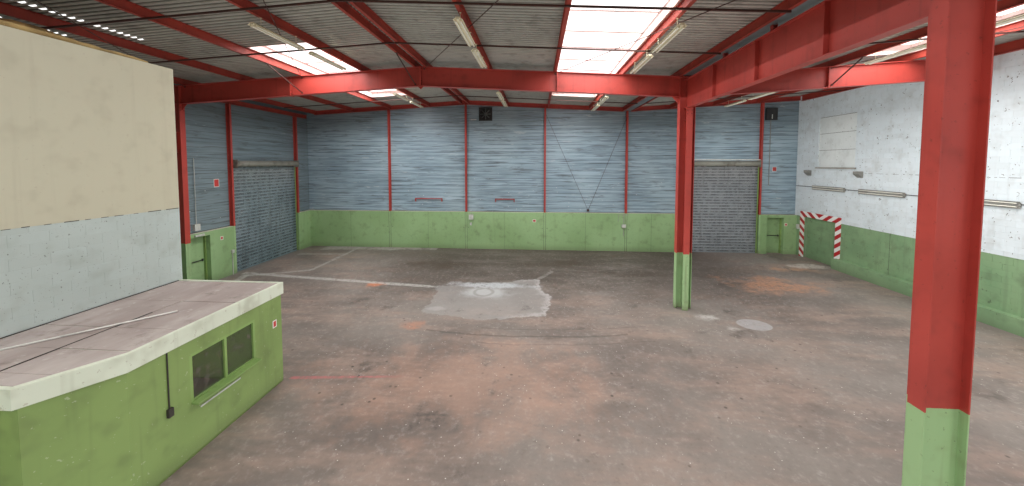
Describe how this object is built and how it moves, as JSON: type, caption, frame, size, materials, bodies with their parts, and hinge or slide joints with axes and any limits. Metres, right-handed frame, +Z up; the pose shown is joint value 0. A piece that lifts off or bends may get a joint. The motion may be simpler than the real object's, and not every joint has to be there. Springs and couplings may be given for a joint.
{
  "type": "factory hall",
  "caption": "Steel portal-frame factory hall with a pitched roof, roller shutters, a block side wall and a small inner booth.",
  "frame": {"origin": "middle of the hall's plan on the underside of the floor slab", "axes": "+Z up, +Y towards the gable wall with the posts and the fan, +X towards the block wall"},
  "size_m": [29.608, 32.82, 9.323],
  "materials": {
    "concrete_floor": "worn, grey-brown, with stains and patches",
    "red_steel": "red oxide paint, slightly glossy",
    "red_purlin": "red oxide paint, dull",
    "roof_metal": "galvanised, dull",
    "rooflight": "cloudy translucent sheet",
    "flashing": "folded sheet, dull",
    "liner": "blue-grey coated sheet",
    "green_wall": "painted panels, satin",
    "block_white": "painted blocks, matt",
    "green_block": "painted blocks, satin",
    "curtain": "interlocking laths, dull",
    "green_metal": "green paint, satin",
    "roll_metal": "galvanised",
    "door_green": "green paint, satin",
    "cream_panel": "smooth, cream paint",
    "base_panel": "painted blocks, pale",
    "wool": "loose mineral wool",
    "booth_green": "green paint, satin",
    "booth_top": "pale edge, worn boards on top",
    "window_green": "green paint",
    "pane": "clear glass",
    "fan_dark": "dark paint",
    "fan_blade": "dull cast blades",
    "stripes": "red and white bands",
    "lamp_white": "off-white enamel with pale tubes",
    "kerb_pale": "pale folded sheet"
  },
  "bodies": {
    "hall": {"floor_slab": "concrete_floor", "left_columns": "red_steel", "valley_columns": "red_steel", "main_rafters": "red_steel", "bay_rafters": "red_steel", "gable_rafters": "red_steel", "wall_posts": "red_steel", "portal_girders": "red_steel", "purlins": "red_purlin", "eaves_beams": "red_purlin", "roof_sheets": "roof_metal", "rooflights": "rooflight", "ridge_cap": "flashing", "gutters": "flashing", "left_cladding": "liner", "left_dado": "green_wall", "north_cladding": "liner", "north_dado": "green_wall", "south_cladding": "liner", "south_dado": "green_wall", "right_wall": "block_white", "right_wall_base": "green_block", "right_kerb": "green_block", "shutter_a": "curtain", "shutter_b": "curtain", "shutter_c": "curtain", "shutter_guides": "green_metal", "shutter_rolls": "roll_metal", "door_frames": "green_metal", "inner_wall": "cream_panel", "inner_wall_base": "base_panel", "wool_fringe": "wool", "booth_walls": "booth_green", "booth_roof": "booth_top", "booth_window": "window_green", "booth_glass": "pane", "fan_housings": "fan_dark", "stripe_frames": "stripes", "roof_rods": "red_purlin", "rooflight_kerbs": "kerb_pale", "lamp_fittings": "lamp_white"},
    "left_door": {"left_door": "door_green"},
    "north_door": {"north_door": "door_green"},
    "booth_door": {"booth_door": "door_green"},
    "fan_rotor": {"fan_rotor": "fan_blade"}
  },
  "joints": [
    {"name": "left_door_hinge", "type": "hinge", "parent": "hall", "child": "left_door", "pos_m": [-14.9503, 8.4525, 1.2], "axis": [0, 0, 1], "range_deg": [0, 95]},
    {"name": "north_door_hinge", "type": "hinge", "parent": "hall", "child": "north_door", "pos_m": [12.7025, 16.3973, 1.2], "axis": [0, 0, 1], "range_deg": [0, 95]},
    {"name": "booth_door_hinge", "type": "hinge", "parent": "hall", "child": "booth_door", "pos_m": [-8.4475, -1.0073, 1.2], "axis": [0, 0, -1], "range_deg": [0, 90]},
    {"name": "fan_spin", "type": "hinge", "parent": "hall", "child": "fan_rotor", "pos_m": [-3.56, 16.212, 8.33], "axis": [0, 1, 0], "continuous": true}
  ]
}
